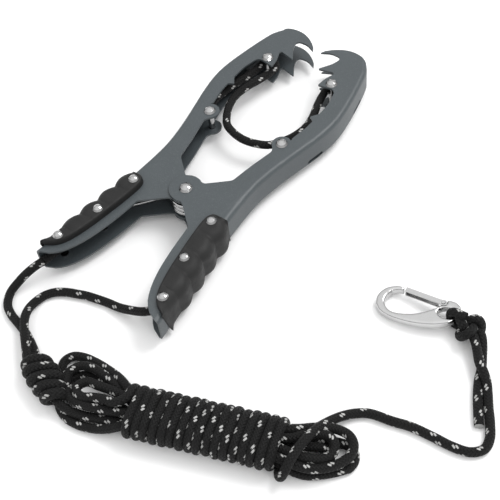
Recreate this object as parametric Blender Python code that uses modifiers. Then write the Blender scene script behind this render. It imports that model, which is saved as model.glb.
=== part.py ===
"""Brush-gripper clamp anchor for small boats.

Two stamped channel arms turn about a pivot rivet and a torsion spring shuts their toothed jaws. A rope runs
through both channels and across the mouth, is gathered in a hank, and ends in a snap hook.
Plan shapes are in millimetres from the pivot axis, +Y towards the jaws; heights are above the floor.
"""
import math

import bpy
import bmesh
from mathutils import Matrix, Vector

MM = 0.001

# driving dimensions, in millimetres
SHEET = 1.6                 # arm sheet thickness
GAP = 0.3                   # clearance between neighbouring pieces
BEND = 4.0                  # outer radius between plate and web
RIGHT_HALF = 11.7           # half of the right arm's channel height
LEFT_HALF = RIGHT_HALF - SHEET - GAP
INNER_HALF = LEFT_HALF - SHEET
GRIP_HALF = RIGHT_HALF + GAP + 3.0
GRIP_SKIN = 2.3             # rubber over the web, between the finger ridges
RIDGE_RISE = 3.1
RIDGE_PITCH = 17.5
RIVET_DOME = 2.4
MID_Z = GRIP_HALF + GAP + RIVET_DOME
HANDLE_END = -103.0
JAW_TOP = 188.0
PIVOT_Y = -(JAW_TOP + HANDLE_END) / 2
ROPE_R = 3.0
FLOOR_Z = ROPE_R + 0.1      # a rope's middle when it lies on the floor
BOSS_R = 12.8               # pivot boss
POST_R = 2.5
LOWER_POST = (34.8, 74.2)
UPPER_POST = (31.2, 148.0)
GRIP_RIVETS = ((36.8, -16.2), (40.6, -52.3), (49.0, -86.5))
PIN_R = 3.5
SLEEVE_R = 6.5
WIRE_R = 1.45
COIL_R = 11.6               # middle of the spring wire
COIL_RISE = 2 * (INNER_HALF - GAP - WIRE_R)

# the arm's web, from the handle's end to the top of the jaw
WEB = ((57.8, -103.0), (55.5, -85.5), (52.7, -67.5), (50.1, -51.8), (47.5, -34.5), (45.6, -16.5),
       (44.3, 0.0), (43.4, 16.0), (43.4, 31.0), (45.2, 46.0), (47.8, 60.0), (51.2, 75.0), (54.6, 90.0),
       (57.0, 104.0), (57.8, 116.0), (56.9, 128.0), (55.2, 139.0), (52.9, 151.0), (50.0, 164.0),
       (46.6, 176.0), (41.6, 183.6))
JAW_CROWN = ((41.6, 183.6), (34.6, 187.0), (27.5, 188.0), (20.8, 187.0), (14.6, 184.2), (9.4, 180.5),
             (6.0, 177.2), (4.0, 173.6))
# corners of the toothed edge: x, y, radius
TEETH = ((4.0, 173.6, 0.0), (12.0, 177.4, 7.0), (22.6, 177.2, 3.5), (19.4, 167.5, 12.0), (12.4, 156.6, 0.5),
         (27.6, 160.2, 1.6), (23.6, 150.0, 12.0), (22.6, 141.4, 0.5), (37.6, 143.8, 4.5), (41.4, 129.0, 12.0),
         (41.6, 115.6, 3.0), (37.0, 109.2, 0.5), (41.5, 106.4, 1.8), (40.9, 97.0, 12.0), (38.4, 83.6, 2.0))
THROAT = ((32.9, 64.0, 4.0), (28.2, 43.0, 60.0), (25.0, 24.6, 4.5), (9.2, 11.0, 3.0))
HANDLE_CORNER = ((7.4, -13.6, 3.0), (24.4, -28.0, 2.5))
HANDLE_EDGE = ((24.9, -33.5), (26.3, -45.0), (28.6, -59.5), (31.4, -72.0), (35.3, -83.5), (40.5, -93.2),
               (47.0, -99.6), (54.0, -102.7), (57.8, -103.0))
GRIP_EDGE = ((32.2, -12.5), (32.2, -24.0), (33.6, -37.5), (35.2, -49.0), (37.0, -60.0), (39.3, -71.0),
             (41.6, -79.5), (44.5, -87.0), (48.5, -92.5), (53.0, -95.6), (58.5, -97.4))
GRIP_TOP_Y = -8.3
GRIP_END_Y = -98.0
WEB_SLOTS = (90.0, 152.0)   # how far up the jaw each slot in the web is
SLOT_LENGTH = 16.0
SLOT_HEIGHT = 3.4

# the snap hook: its own frame runs from the bow (x = 0) to the eye (x = 60)
HOOK_PLACE = (160.5, 9.0, 3.6)
HOOK_TURN = math.radians(15.4)
HOOK_TILT = math.radians(-6.2)
HOOK_THICK = 6.5
HOOK_OUTER = ((17.2, 11.9), (12.0, 12.0), (6.5, 9.8), (2.0, 5.0), (0.2, -1.0), (1.2, -6.5), (5.0, -11.0),
              (12.0, -14.2), (22.0, -15.8), (33.0, -15.8), (44.0, -14.0), (53.0, -10.5), (58.5, -5.0),
              (60.0, 0.0), (58.3, 4.8), (54.8, 7.4), (50.6, 8.0))
HOOK_INNER = ((43.6, 0.4), (39.6, -2.4), (34.0, -6.0), (27.5, -8.8), (17.2, -10.5), (11.0, -9.0),
              (7.0, -4.0), (6.8, 2.0), (9.9, 7.0), (14.0, 8.6), (17.2, 8.6))
LUG_R = 2.4                 # the body's thin lug about the gate pin, between the gate's flanges
LUG_HALF = 1.6
EYE = (50.4, -2.9)
EYE_SIZE = (6.2, 4.4)
EDGE_ROUND = 1.0
GATE_PIN = (46.2, 5.0)
GATE_PIN_R = 1.2
GATE_TIP = (18.4, 10.2)
GATE_WIDTH = 3.6
GATE_SHEET = 0.8
GATE_HALF = 2.7

COLOURS = {
    "powder_coat": ((0.13, 0.15, 0.16), 0.45, 0.3),
    "rubber": ((0.03, 0.03, 0.03), 0.8, 0.0),
    "steel": ((0.75, 0.75, 0.75), 0.2, 1.0),
    "rope": ((0.02, 0.02, 0.02), 0.9, 0.0),
}


def clear_scene():
    for item in list(bpy.data.objects):
        bpy.data.objects.remove(item, do_unlink=True)


def new_collection(name):
    made = bpy.data.collections.new(name)
    bpy.context.scene.collection.children.link(made)
    return made


def paint(item, kind):
    colour, roughness, metallic = COLOURS[kind]
    material = bpy.data.materials.new(f"{item.name}_{kind}")
    material.use_nodes = True
    shader = material.node_tree.nodes["Principled BSDF"]
    shader.inputs["Base Color"].default_value = (*colour, 1.0)
    shader.inputs["Roughness"].default_value = roughness
    shader.inputs["Metallic"].default_value = metallic
    item.data.materials.clear()
    item.data.materials.append(material)


def add_part(item, kind, smooth=True):
    """Put a finished piece in the object's collection with its own material."""
    for old in list(item.users_collection):
        old.objects.unlink(item)
    PARTS.objects.link(item)
    paint(item, kind)
    if smooth and item.type == "MESH":
        item.data.shade_smooth()
        item.data.set_sharp_from_angle(angle=math.radians(35))
    return item


def add_cutter(item):
    for old in list(item.users_collection):
        old.objects.unlink(item)
    CUTTERS.objects.link(item)
    item.hide_render = True
    item.display_type = "WIRE"
    return item


def boolean(item, cutter, operation="DIFFERENCE"):
    made = item.modifiers.new(f"{operation.lower()}_{cutter.name}", "BOOLEAN")
    made.operation = operation
    made.object = cutter


# ---- plan curves ----------------------------------------------------------------------------------------

def smooth_run(points, step):
    """Points about `step` apart on a Catmull-Rom curve through the given points, ends included."""
    knots = [Vector(p) for p in points]
    ends = [2 * knots[0] - knots[1], *knots, 2 * knots[-1] - knots[-2]]
    run = []
    for i in range(1, len(knots)):
        before, start, end, after = ends[i - 1:i + 3]
        pieces = max(1, round((end - start).length / step))
        for k in range(pieces):
            t = k / pieces
            run.append(0.5 * (2 * start + (end - before) * t
                              + (2 * before - 5 * start + 4 * end - after) * t ** 2
                              + (3 * start - before - 3 * end + after) * t ** 3))
    run.append(knots[-1])
    return run


def rounded_corners(corners, turn=math.radians(24)):
    """The open run through corners (x, y, radius), with each inner corner turned into an arc."""
    run = [Vector(corners[0][:2])]
    for before, here, after in zip(corners, corners[1:], corners[2:]):
        corner, radius = Vector(here[:2]), here[2]
        back, ahead = Vector(before[:2]) - corner, Vector(after[:2]) - corner
        bend = math.pi - back.angle(ahead)
        reach = min(radius * math.tan(bend / 2), 0.48 * back.length, 0.48 * ahead.length)
        radius = reach / math.tan(bend / 2)
        start = corner + back.normalized() * reach
        centre = corner + (back.normalized() + ahead.normalized()).normalized() * math.hypot(reach, radius)
        side = 1 if back.x * ahead.y - back.y * ahead.x > 0 else -1
        pieces = max(1, round(bend / turn))
        for k in range(pieces + 1):
            angle = -side * bend * k / pieces
            run.append(centre + Matrix.Rotation(angle, 2) @ (start - centre))
    run.append(Vector(corners[-1][:2]))
    return run


def arc(centre, radius, start, end, pieces):
    """Points on an arc, counter-clockwise, angles in degrees."""
    angles = (math.radians(start + (end - start) * k / pieces) for k in range(pieces + 1))
    return [Vector(centre) + radius * Vector((math.cos(a), math.sin(a))) for a in angles]


def circle(centre, radius, pieces):
    return arc(centre, radius, 0.0, 360.0, pieces)[:-1]


def offset_run(run, distance):
    """The run moved sideways, to its left, by a distance that may differ from point to point."""
    moved = []
    for i, point in enumerate(run):
        along = (run[min(i + 1, len(run) - 1)] - run[max(i - 1, 0)]).normalized()
        amount = distance[i] if isinstance(distance, list) else distance
        moved.append(point + Vector((-along.y, along.x)) * amount)
    return moved


def placed(run, side):
    """Plan points of the right arm, moved to the world, or mirrored for the left arm."""
    return [Vector((side * p.x, p.y + PIVOT_Y)) for p in run]


def web_point(y):
    """The web's outer surface and its direction at a distance up the arm."""
    run = smooth_run(WEB, 2.0)
    i = min(range(1, len(run) - 1), key=lambda k: abs(run[k].y - y))
    return run[i], (run[i + 1] - run[i - 1]).normalized()


# ---- solids ---------------------------------------------------------------------------------------------

def new_object(name, data):
    made = bpy.data.objects.new(name, data)
    bpy.context.scene.collection.objects.link(made)
    return made


def to_mesh(curve_object, name):
    """The curve's evaluated mesh as a new object, its caps welded and its flat faces whole."""
    bpy.context.view_layer.update()
    graph = bpy.context.evaluated_depsgraph_get()
    mesh = bpy.data.meshes.new_from_object(curve_object.evaluated_get(graph))
    bm = bmesh.new()
    bm.from_mesh(mesh)
    bmesh.ops.remove_doubles(bm, verts=bm.verts, dist=1e-6)
    bmesh.ops.dissolve_limit(bm, angle_limit=math.radians(0.5), verts=bm.verts, edges=bm.edges)
    bmesh.ops.recalc_face_normals(bm, faces=bm.faces)
    bm.to_mesh(mesh)
    bm.free()
    mesh.transform(curve_object.matrix_world)
    bpy.data.objects.remove(curve_object, do_unlink=True)
    return new_object(name, mesh)


def flat_solid(name, outlines, low, high):
    """A plate with the given outline, and holes where more outlines are given, between two heights."""
    curve = bpy.data.curves.new(name, "CURVE")
    curve.dimensions = "2D"
    curve.fill_mode = "BOTH"
    curve.extrude = (high - low) / 2 * MM
    for outline in outlines:
        spline = curve.splines.new("POLY")
        spline.points.add(len(outline) - 1)
        for point, at in zip(spline.points, outline):
            point.co = (at[0] * MM, at[1] * MM, 0.0, 1.0)
        spline.use_cyclic_u = True
    draft = new_object(f"{name}_draft", curve)
    draft.location.z = (low + high) / 2 * MM
    return to_mesh(draft, name)


def round_edges(item, on_edge, radius, segments):
    """Round the top and bottom edges for which on_edge(start, end) holds, points in millimetres."""
    bm = bmesh.new()
    bm.from_mesh(item.data)
    chosen = []
    for edge in bm.edges:
        start, end = (v.co / MM for v in edge.verts)
        if abs(start.z - end.z) < 0.01 and on_edge(start, end):
            chosen.append(edge)
    bmesh.ops.bevel(bm, geom=chosen, offset=radius * MM, segments=segments, profile=0.5, affect="EDGES",
                    clamp_overlap=False)
    bm.to_mesh(item.data)
    bm.free()


def channel_solid(name, side, offset, half, radius, step):
    """The space inside the web, its long edges rounded as the sheet bends, open past both ends.

    offset is how far inside the web's outer surface it stays.
    """
    run = smooth_run(WEB, step)
    run = offset_run(run, offset)
    first, last = run[0], run[-1]
    run = [first + (first - run[1]).normalized() * 25.0, *run, last + Vector((-3.0, 18.0))]
    edge = placed(run, side)
    far = placed([Vector((-40.0, run[-1].y)), Vector((-40.0, run[0].y))], side)
    made = flat_solid(name, [edge + far], MID_Z - half, MID_Z + half)
    keys = {(round(p.x, 2), round(p.y, 2)) for p in edge}

    def on_web(start, end):
        return all((round(p.x, 2), round(p.y, 2)) in keys for p in (start, end))

    round_edges(made, on_web, radius, 3)
    return add_cutter(made)


def turned(name, profile, centre, segments, ring=False):
    """A turned piece: (radius, height) points from top to bottom about a vertical axis through centre."""
    mesh = bpy.data.meshes.new(name)
    points = [(r * MM, 0.0, z * MM) for r, z in profile]
    count = len(points)
    mesh.from_pydata(points, [(i, (i + 1) % count) for i in range(count if ring else count - 1)], [])
    made = new_object(name, mesh)
    made.location = (centre[0] * MM, centre[1] * MM, 0.0)
    screw = made.modifiers.new("turn", "SCREW")
    screw.steps = segments
    screw.render_steps = segments
    screw.use_merge_vertices = True
    screw.merge_threshold = 1e-6
    screw.use_smooth_shade = True
    return made


def dome(radius, rise, base, pieces=3):
    """Profile of a dome from its crown down to its rim, ending at the height base."""
    sphere = (radius ** 2 + rise ** 2) / (2 * rise)
    top = math.asin(min(1.0, radius / sphere))
    points = []
    for k in range(pieces + 1):
        angle = top * k / pieces
        points.append((sphere * math.sin(angle), base + rise - sphere * (1 - math.cos(angle))))
    return points


def long_rivet(name, at, side, half, shank, head, rise, segments):
    """A rivet right through the channel, with a dome on each outer face."""
    base = half + GAP
    upper = [(r, MID_Z + z) for r, z in dome(head, rise, base)]
    lower = [(r, MID_Z - z) for r, z in reversed(dome(head, rise, base))]
    profile = upper + [(shank, MID_Z + base), (shank, MID_Z - base)] + lower
    centre = placed([Vector(at)], side)[0]
    return add_part(turned(name, profile, centre, segments), "steel")


def short_rivet(name, at, side, half, up):
    """A grip rivet: dome on the rubber, shank through rubber and plate, rolled tail inside the channel."""
    tail, tail_r, shank_r, head_r = 0.8, 3.0, 2.0, 4.0
    inside = half - SHEET - GAP
    profile = [*dome(head_r, RIVET_DOME, GRIP_HALF + GAP), (shank_r, GRIP_HALF + GAP), (shank_r, inside),
               (tail_r, inside), (tail_r, inside - tail), (0.0, inside - tail)]
    if up > 0:
        profile = [(r, MID_Z + z) for r, z in profile]
    else:
        profile = [(r, MID_Z - z) for r, z in reversed(profile)]
    centre = placed([Vector(at)], side)[0]
    return add_part(turned(name, profile, centre, 12), "steel")


def drill(name, places, side, radius, segments=12):
    """One cutter for several vertical holes."""
    bm = bmesh.new()
    for centre in placed([Vector(p) for p in places], side):
        spot = Matrix.Translation((centre.x * MM, centre.y * MM, MID_Z * MM))
        bmesh.ops.create_cone(bm, cap_ends=True, segments=segments, radius1=radius * MM, radius2=radius * MM,
                              depth=2.4 * GRIP_HALF * MM, matrix=spot)
    mesh = bpy.data.meshes.new(name)
    bm.to_mesh(mesh)
    bm.free()
    return add_cutter(new_object(name, mesh))


def tube(name, points, radius, kind, resolution=2):
    """A round bar or rope along points in millimetres, x and y from the pivot."""
    curve = bpy.data.curves.new(name, "CURVE")
    curve.dimensions = "3D"
    curve.bevel_depth = radius * MM
    curve.bevel_resolution = resolution
    curve.use_fill_caps = True
    spline = curve.splines.new("POLY")
    spline.points.add(len(points) - 1)
    for point, at in zip(spline.points, points):
        point.co = (at[0] * MM, (at[1] + PIVOT_Y) * MM, at[2] * MM, 1.0)
    return add_part(new_object(name, curve), kind, smooth=False)


def eye_loop_points():
    place = hook_matrix()
    x, y = EYE_LOOP_START
    points = []
    for along, height in smooth_run(EYE_LOOP, 4.0):
        local = Vector((x + along * math.cos(EYE_LOOP_HEADING), y + along * math.sin(EYE_LOOP_HEADING), height))
        at = place @ (local * MM) / MM
        points.append((at.x, at.y - PIVOT_Y, at.z))
    return points


def rope(name, route, step=13.0):
    return tube(name, smooth_run(route, step), ROPE_R, "rope")


# ---- arms -----------------------------------------------------------------------------------------------

def arm_outline(side):
    """The plates' plan: out past the web where the bend shapes it, then crown, teeth, throat and handle."""
    web = offset_run(smooth_run(WEB, 6.0), -1.0)
    web = [Vector((web[0].x, HANDLE_END)), *web[1:-1]]
    crown = smooth_run(JAW_CROWN, 4.0)[:-1]
    lower_boss = arc(LOWER_POST, 7.7, 58, 236, 9)
    pivot_boss = arc((0.0, 0.0), BOSS_R, 58, 290, 14)
    teeth = rounded_corners(TEETH)
    throat = rounded_corners(((*lower_boss[-1], 0.0), *THROAT, (*pivot_boss[0], 0.0)))[1:-1]
    corner = rounded_corners(((*pivot_boss[-1], 0.0), *HANDLE_CORNER, (*HANDLE_EDGE[0], 0.0)))[1:-1]
    handle = smooth_run(HANDLE_EDGE, 6.0)
    run = web + crown + teeth + lower_boss + throat + pivot_boss + corner + handle[:-1]
    return placed(run, side)


def slot_cutter(name, side, up, arm_half):
    """A round-ended slot through the web, just above the lower bend."""
    reach = SLOT_LENGTH / 2 - SLOT_HEIGHT / 2
    ends = arc((reach, 0.0), SLOT_HEIGHT / 2, -90, 90, 4) + arc((-reach, 0.0), SLOT_HEIGHT / 2, 90, 270, 4)
    made = flat_solid(name, [ends], -6.0, 6.0)
    at, along = web_point(up)
    along = Vector((side * along.x, along.y, 0.0))
    out = along.cross(Vector((0.0, 0.0, 1.0)))
    turn = Matrix((along, Vector((0.0, 0.0, 1.0)), out)).transposed().to_4x4()
    spot = Vector((side * at.x * MM, (at.y + PIVOT_Y) * MM, (MID_Z - arm_half + 4.6) * MM))
    made.data.transform(Matrix.Translation(spot) @ turn)
    return add_cutter(made)


def build_arm(label, side, half):
    holes = [circle(at, 2.0 + GAP, 12) for at in GRIP_RIVETS]
    holes += [circle(at, POST_R + GAP, 14) for at in (LOWER_POST, UPPER_POST)]
    holes.append(circle((0.0, 0.0), PIN_R + GAP, 20))
    outlines = [arm_outline(side)] + [placed(hole, side) for hole in holes]
    arm = flat_solid(f"{label}_arm", outlines, MID_Z - half - 1.0, MID_Z + half + 1.0)
    envelope = channel_solid(f"{label}_envelope", side, 0.0, half, BEND, 4.5)
    inside = channel_solid(f"{label}_inside", side, SHEET, half - SHEET, BEND - SHEET, 4.5)
    boolean(arm, envelope, "INTERSECT")
    boolean(arm, inside)
    for number, up in enumerate(WEB_SLOTS, 1):
        boolean(arm, slot_cutter(f"{label}_slot_{number}", side, up, half))
    return add_part(arm, "powder_coat")


# ---- grips ----------------------------------------------------------------------------------------------

def ridge(y):
    """How far the rubber stands over its skin: a row of finger ridges, 0 to 1."""
    wave = 0.5 - 0.5 * math.cos(2 * math.pi * (GRIP_TOP_Y - 8.0 - y) / RIDGE_PITCH)
    ends = min(1.0, max(0.0, (GRIP_TOP_Y - 6.0 - y) / 8.0), max(0.0, (y - GRIP_END_Y) / 6.0))
    return wave ** 1.5 * ends


def grip_outline(side):
    run = [p for p in smooth_run(WEB, 2.5) if GRIP_END_Y - 1.0 < p.y < GRIP_TOP_Y + 1.0]
    outer = offset_run(run, [-(GRIP_SKIN + RIDGE_RISE * ridge(p.y)) for p in run])
    edge = smooth_run(GRIP_EDGE, 7.0)
    top = rounded_corners(((*outer[-2], 0.0), (outer[-1].x, GRIP_TOP_Y, 1.8), (32.2, GRIP_TOP_Y, 4.4),
                           (*edge[0], 0.0)))[1:-1]
    end = rounded_corners(((*edge[-1], 0.0), (outer[0].x, GRIP_END_Y - 1.5, 1.5), (*outer[1], 0.0)))[1:-1]
    return placed(outer[1:-1] + top + edge + end, side)


def build_grip(label, side, arm_half):
    outline = grip_outline(side)
    grip = flat_solid(f"{label}_grip", [outline], MID_Z - GRIP_HALF, MID_Z + GRIP_HALF)
    round_edges(grip, lambda start, end: True, 1.8, 2)
    hollow = channel_solid(f"{label}_grip_hollow", side, -GAP, arm_half + GAP, BEND + GAP, 5.0)
    boolean(grip, hollow)
    boolean(grip, drill(f"{label}_grip_holes", GRIP_RIVETS, side, 2.0 + GAP))
    return add_part(grip, "rubber")


# ---- pivot and spring -----------------------------------------------------------------------------------

def build_pivot():
    long_rivet("pivot_rivet", (0.0, 0.0), 1, RIGHT_HALF, PIN_R, 5.1, 3.0, 20)
    half = INNER_HALF - GAP
    top, low, bore = MID_Z + half, MID_Z - half, PIN_R + GAP
    profile = [(bore, top), (SLEEVE_R, top), (SLEEVE_R, low), (bore, low)]
    add_part(turned("pivot_sleeve", profile, placed([Vector((0.0, 0.0))], 1)[0], 20, ring=True), "steel")


def build_spring():
    """A torsion spring: straight leg to the left web, coil rising round the pivot, leg to the right web."""
    leg_end = Vector((43.6, -36.0))
    reach = math.sqrt(leg_end.length_squared - COIL_R ** 2)
    touch = math.atan2(leg_end.y, -leg_end.x) + math.atan2(reach, COIL_R)
    turns = 4
    sweep = 2 * math.pi * turns - 2 * (touch + math.pi / 2)
    pieces = 12 * turns
    coil = []
    for k in range(pieces + 1):
        angle = touch + sweep * k / pieces
        rise = COIL_RISE * (k / pieces - 0.5)
        coil.append((COIL_R * math.cos(angle), COIL_R * math.sin(angle), MID_Z + rise))
    low, high = MID_Z - COIL_RISE / 2, MID_Z + COIL_RISE / 2
    points = [(-leg_end.x, leg_end.y, low), *coil, (leg_end.x, leg_end.y, high)]
    tube("torsion_spring", points, WIRE_R, "steel")


# ---- rope -----------------------------------------------------------------------------------------------

def channel_route(side):
    """The rope inside one arm: up the web, round the upper post and back down the inner side of the jaw."""
    up = [(41.0, -60.0), (41.5, -45.0), (40.5, -25.0), (38.8, 0.0), (38.4, 20.0), (38.5, 38.0),
          (41.6, 60.0), (44.4, 80.0), (45.4, 100.0), (42.5, 118.0), (38.6, 132.0), (37.4, 144.0)]
    over = [tuple(p) for p in arc(UPPER_POST, 6.2, 20, 165, 4)]
    down = [(26.0, 142.0), (28.6, 131.0), (32.4, 119.0), (34.0, 106.0), (31.6, 94.0), (27.8, 86.0)]
    return [(side * x, y, MID_Z) for x, y in up + over + down]


def build_rope():
    arc_route = [(26.6, 83.6), (20.4, 76.4), (10.5, 72.0), (0.0, 70.4), (-10.5, 72.0), (-20.4, 76.4),
                 (-26.6, 83.6)]
    left_start = [(-52.0, -101.5, MID_Z), (-50.0, -90.0, MID_Z), (-45.0, -75.0, MID_Z)]
    right_start = [(43.0, -91.0, MID_Z), (45.6, -84.0, MID_Z), (44.0, -72.0, MID_Z)]
    rope("rope_left_channel", left_start + channel_route(-1))
    rope("rope_right_channel", right_start + channel_route(1))
    rope("rope_mouth_arc", [(x, y, MID_Z) for x, y in arc_route])
    rope("rope_left_leg", LEFT_LEG)
    rope("rope_right_leg", RIGHT_LEG)
    rope("rope_lead", LEAD)
    rope("rope_tail", TAIL)
    tube("rope_eye_loop", eye_loop_points(), ROPE_R, "rope")
    knot("join_knot", (2.5, -169.5, 10.6), (17.5, 9.5, 10.0), 8)
    knot("hook_knot", (229.6, 20.0, 10.2), (9.8, 9.5, 9.8), 0)
    build_hank()


# routes of the free rope: x and y from the pivot, height above the floor
LEFT_LEG = ((-52.4, -103.6, MID_Z), (-54.8, -109.0, 16.6), (-58.8, -116.0, 12.5), (-62.0, -124.0, 7.6),
            (-62.6, -132.5, 4.4), (-57.6, -141.0, FLOOR_Z), (-48.8, -145.8, FLOOR_Z),
            (-39.0, -148.4, FLOOR_Z), (-28.5, -151.6, FLOOR_Z), (-19.5, -155.6, 3.8), (-10.4, -160.6, 5.4))
RIGHT_LEG = ((41.4, -92.6, 16.9), (35.0, -95.3, 13.6), (23.5, -97.2, 8.2), (12.8, -98.5, 4.6),
             (3.0, -99.3, FLOOR_Z), (-5.2, -101.0, FLOOR_Z), (-14.0, -103.2, FLOOR_Z),
             (-21.7, -106.1, FLOOR_Z), (-29.4, -109.4, FLOOR_Z), (-35.6, -113.6, FLOOR_Z),
             (-40.0, -119.4, FLOOR_Z), (-41.8, -126.6, 3.6), (-40.8, -134.0, 5.6), (-37.2, -141.2, 8.4),
             (-32.0, -147.8, 10.0), (-26.0, -153.6, 10.2), (-20.0, -158.8, 10.0), (-15.4, -163.0, 9.6))
LEAD = ((175.4, -100.0, 14.0), (178.5, -94.0, 11.0), (184.0, -84.5, 6.5), (191.0, -77.0, 3.6),
        (199.8, -71.6, FLOOR_Z), (209.0, -68.6, FLOOR_Z), (219.5, -65.9, FLOOR_Z), (231.0, -63.4, FLOOR_Z),
        (246.0, -61.8, FLOOR_Z), (260.0, -60.8, FLOOR_Z), (270.6, -58.0, FLOOR_Z), (276.8, -51.4, FLOOR_Z),
        (276.4, -43.4, FLOOR_Z), (271.2, -33.0, FLOOR_Z), (260.8, -19.0, FLOOR_Z), (250.4, -4.0, 3.6),
        (243.0, 6.0, 5.2), (236.6, 13.6, 7.6))
TAIL = ((230.4, 10.2, 7.6), (234.0, 2.6, 4.6), (240.4, -6.6, FLOOR_Z), (249.2, -20.4, FLOOR_Z),
        (258.4, -34.0, FLOOR_Z), (263.0, -40.4, FLOOR_Z))
# the loop through the eye, in the hook's frame: distance towards the knot, height
EYE_LOOP = ((7.0, 7.2), (3.6, 7.0), (0.8, 4.6), (0.0, 0.0), (0.8, -4.4), (3.6, -6.6), (7.0, -6.7))
EYE_LOOP_START = (53.0, -2.9)
EYE_LOOP_HEADING = math.radians(-16.6)
# the hank: its axis from the first wrap to the last, then its plan as (along, across) from the first wrap
HANK_AXIS = ((78.0, -158.6), (176.0, -122.4))
HANK_HEIGHT = 24.4
HANK_PLAN = (
    ((-52.0, 16.0), (-56.0, 22.5), (-62.0, 26.0), (-62.0, 30.5), (-56.0, 32.2), (-41.5, 30.4), (-27.0, 25.8),
     (-14.0, 19.8), (-3.0, 18.8)),
    ((-3.0, 18.8), (94.0, 18.8)),
    ((94.0, 18.8), (104.0, 17.4), (116.0, 16.8), (125.0, 19.5), (134.0, 22.2), (143.0, 20.6), (149.0, 15.0),
     (150.0, 8.0), (145.0, 1.6), (139.5, -4.6), (128.0, -12.0), (117.0, -16.8), (108.0, -20.0),
     (99.0, -18.8)),
    ((99.0, -18.8), (4.0, -18.8)),
    ((4.0, -18.8), (-8.0, -15.2), (-20.4, -15.4), (-36.0, -15.0), (-46.0, -10.6), (-56.0, -4.8), (-60.0, 1.0),
     (-55.0, 7.0), (-52.0, 16.0)),
)


def knot(name, centre, radii, turn):
    bpy.ops.mesh.primitive_uv_sphere_add(segments=14, ring_count=8, radius=1.0)
    made = bpy.context.object
    made.name = name
    place = Matrix.Translation(Vector((centre[0], centre[1] + PIVOT_Y, centre[2])) * MM)
    size = Matrix.Diagonal((*(Vector(radii) * MM), 1.0))
    made.data.transform(place @ Matrix.Rotation(math.radians(turn), 4, "Z") @ size)
    return add_part(made, "rope")


def build_hank():
    """The hank's outer shape: the bundle's wrapped middle and the loops at both ends, as one flat solid."""
    start, end = Vector(HANK_AXIS[0]), Vector(HANK_AXIS[1])
    along = (end - start).normalized()
    across = Vector((-along.y, along.x))
    outline = []
    for stretch in HANK_PLAN:
        outline += smooth_run(stretch, 9.0 if len(stretch) > 2 else 60.0)[:-1]
    outline = placed([start + along * p.x + across * p.y for p in outline], 1)
    add_part(flat_solid("rope_hank", [outline], FLOOR_Z - ROPE_R, HANK_HEIGHT), "rope")


# ---- snap hook ------------------------------------------------------------------------------------------

def hook_matrix():
    turn = Matrix.Rotation(HOOK_TURN, 4, "Z") @ Matrix.Rotation(HOOK_TILT, 4, "Y")
    x, y, z = HOOK_PLACE
    return Matrix.Translation(Vector((x, y + PIVOT_Y, z)) * MM) @ turn


def build_hook():
    """The snap hook: a forged body with an eye, a sprung channel gate, its pin and its leaf spring."""
    place = hook_matrix()
    half = HOOK_THICK / 2
    eye = [Vector((EYE[0] + EYE_SIZE[0] * math.cos(a), EYE[1] + EYE_SIZE[1] * math.sin(a)))
           for a in (math.radians(18 * k) for k in range(20))]
    lug = arc(GATE_PIN, LUG_R, 55, 238, 8)
    outline = smooth_run(HOOK_OUTER, 4.0) + lug + smooth_run(HOOK_INNER, 4.0)
    body = flat_solid("hook_body", [outline, eye], -half, half)

    def off_lug(start, end):
        return all((p.xy - Vector(GATE_PIN)).length > LUG_R + 1.0 for p in (start, end))

    round_edges(body, off_lug, EDGE_ROUND, 2)
    body.data.transform(place)
    reach = half - LUG_HALF + 1.0
    for end, sign in (("low", -1), ("high", 1)):
        pocket = round_bar(f"hook_pocket_{end}", GATE_PIN, LUG_R + 0.5, reach, 24, sign * (LUG_HALF + reach / 2))
        pocket.data.transform(place)
        boolean(body, add_cutter(pocket))
    hole = round_bar("hook_pin_hole", GATE_PIN, GATE_PIN_R + GAP, 4 * half, 12)
    hole.data.transform(place)
    boolean(body, add_cutter(hole))
    add_part(body, "steel")
    return place, build_gate(place)


def round_bar(name, centre, radius, length, segments, middle=0.0):
    bm = bmesh.new()
    spot = Matrix.Translation(Vector((*centre, middle)) * MM)
    bmesh.ops.create_cone(bm, cap_ends=True, segments=segments, radius1=radius * MM, radius2=radius * MM,
                          depth=length * MM, matrix=spot)
    mesh = bpy.data.meshes.new(name)
    bm.to_mesh(mesh)
    bm.free()
    return new_object(name, mesh)


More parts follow.
